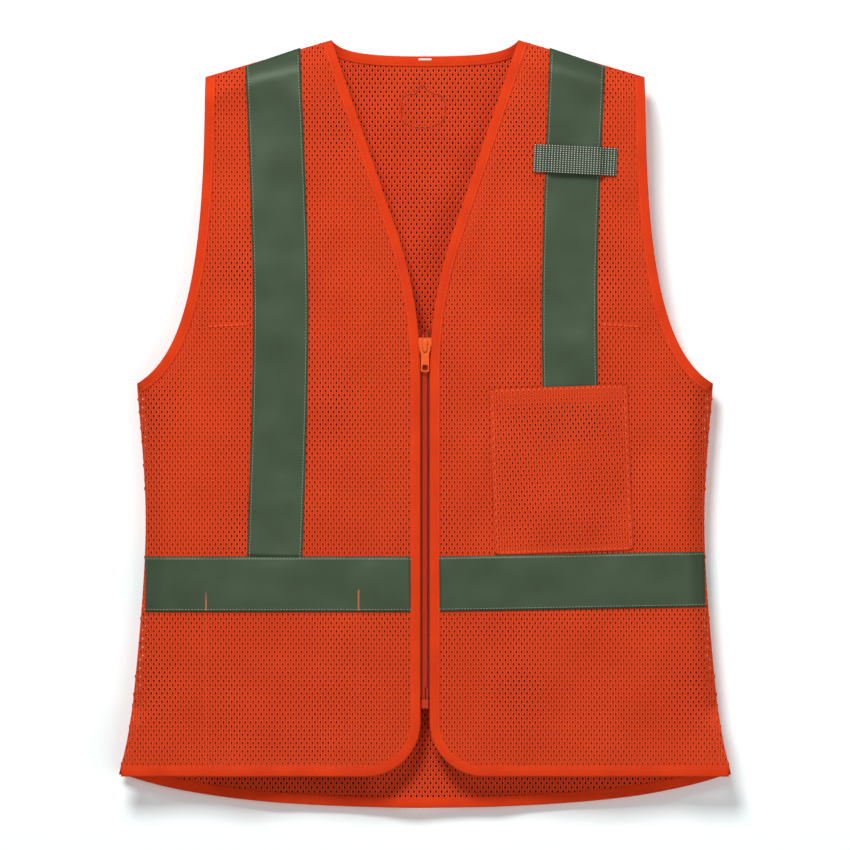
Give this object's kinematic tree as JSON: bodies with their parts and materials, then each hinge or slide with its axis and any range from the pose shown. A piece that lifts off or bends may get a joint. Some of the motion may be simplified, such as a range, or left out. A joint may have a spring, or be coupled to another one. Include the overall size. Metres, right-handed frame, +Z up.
{
  "type": "high visibility vest",
  "caption": "Sleeveless high visibility vest of orange mesh with a zip front, V neck, edge bindings, retroreflective braces and waist band, a chest pocket and a microphone tab.",
  "frame": {"origin": "midway between the neck points, where the shoulder seams meet the neckline", "axes": "+Z up as worn, the front faces -Y, +X is the wearer's left"},
  "size_m": [0.562, 0.0356, 0.707],
  "materials": {
    "mesh_cloth": "warp-knitted polyester mesh, matt",
    "binding": "woven polyester binding tape, matt",
    "reflective_tape": "glass-bead retroreflective tape, dull where no lamp shines on it",
    "webbing": "woven nylon webbing",
    "zip_fabric": "woven polyester tape with a nylon coil",
    "zip_hardware": "zinc alloy, painted to match the cloth",
    "label": "woven satin label"
  },
  "bodies": {
    "back": {"back_hem_binding": "binding", "back_neck_binding": "binding", "back_panel": "mesh_cloth", "back_patch": "mesh_cloth", "back_waist_tape": "reflective_tape", "chest_pocket_side": "mesh_cloth", "left_armhole_binding": "binding", "left_back_tape": "reflective_tape", "left_edge_binding_hem": "binding", "left_edge_binding_neck": "binding", "left_front_panel_side": "mesh_cloth", "left_front_tape_side": "reflective_tape", "left_waist_tape_side": "reflective_tape", "mic_tab": "webbing", "neck_label": "label", "right_armhole_binding": "binding", "right_back_tape": "reflective_tape", "right_edge_binding_hem": "binding", "right_edge_binding_neck": "binding", "right_front_panel_side": "mesh_cloth", "right_front_tape_side": "reflective_tape", "right_waist_tape_side": "reflective_tape"},
    "right_front": {"inner_pocket": "mesh_cloth", "right_edge_binding": "binding", "right_front_panel": "mesh_cloth", "right_front_tape": "reflective_tape", "right_waist_tape": "reflective_tape", "right_zip_coil": "zip_fabric", "right_zip_tape": "zip_fabric", "right_zip_top_stop": "zip_hardware", "zip_retainer_box": "zip_hardware"},
    "left_front": {"chest_pocket": "mesh_cloth", "left_edge_binding": "binding", "left_front_panel": "mesh_cloth", "left_front_tape": "reflective_tape", "left_waist_tape": "reflective_tape", "left_zip_coil": "zip_fabric", "left_zip_tape": "zip_fabric", "left_zip_top_stop": "zip_hardware", "zip_insertion_pin": "zip_hardware"},
    "zip_slider": {"zip_slider": "zip_hardware"},
    "zip_pull_tab": {"zip_pull_tab": "zip_hardware"}
  },
  "joints": [
    {"name": "right_front_fold", "type": "hinge", "parent": "back", "child": "right_front", "pos_m": [-0.16662, -0.02315, -0.366], "axis": [-0.3044, 0, -0.9526], "range_deg": [0, 160], "deforming": ["left_zip_coil", "left_zip_tape", "zip_insertion_pin"]},
    {"name": "left_front_fold", "type": "hinge", "parent": "back", "child": "left_front", "pos_m": [0.16662, -0.02315, -0.366], "axis": [-0.3044, 0, 0.9526], "range_deg": [0, 160], "deforming": ["left_zip_coil", "left_zip_tape", "zip_insertion_pin"]},
    {"name": "zip_slide", "type": "slide", "parent": "right_front", "child": "zip_slider", "axis": [0, 0, -1], "range_m": [0, 0.317]},
    {"name": "pull_tab_swing", "type": "hinge", "parent": "zip_slider", "child": "zip_pull_tab", "pos_m": [0, -0.01655, -0.28125], "axis": [-1, 0, 0], "range_deg": [0, 170]}
  ]
}
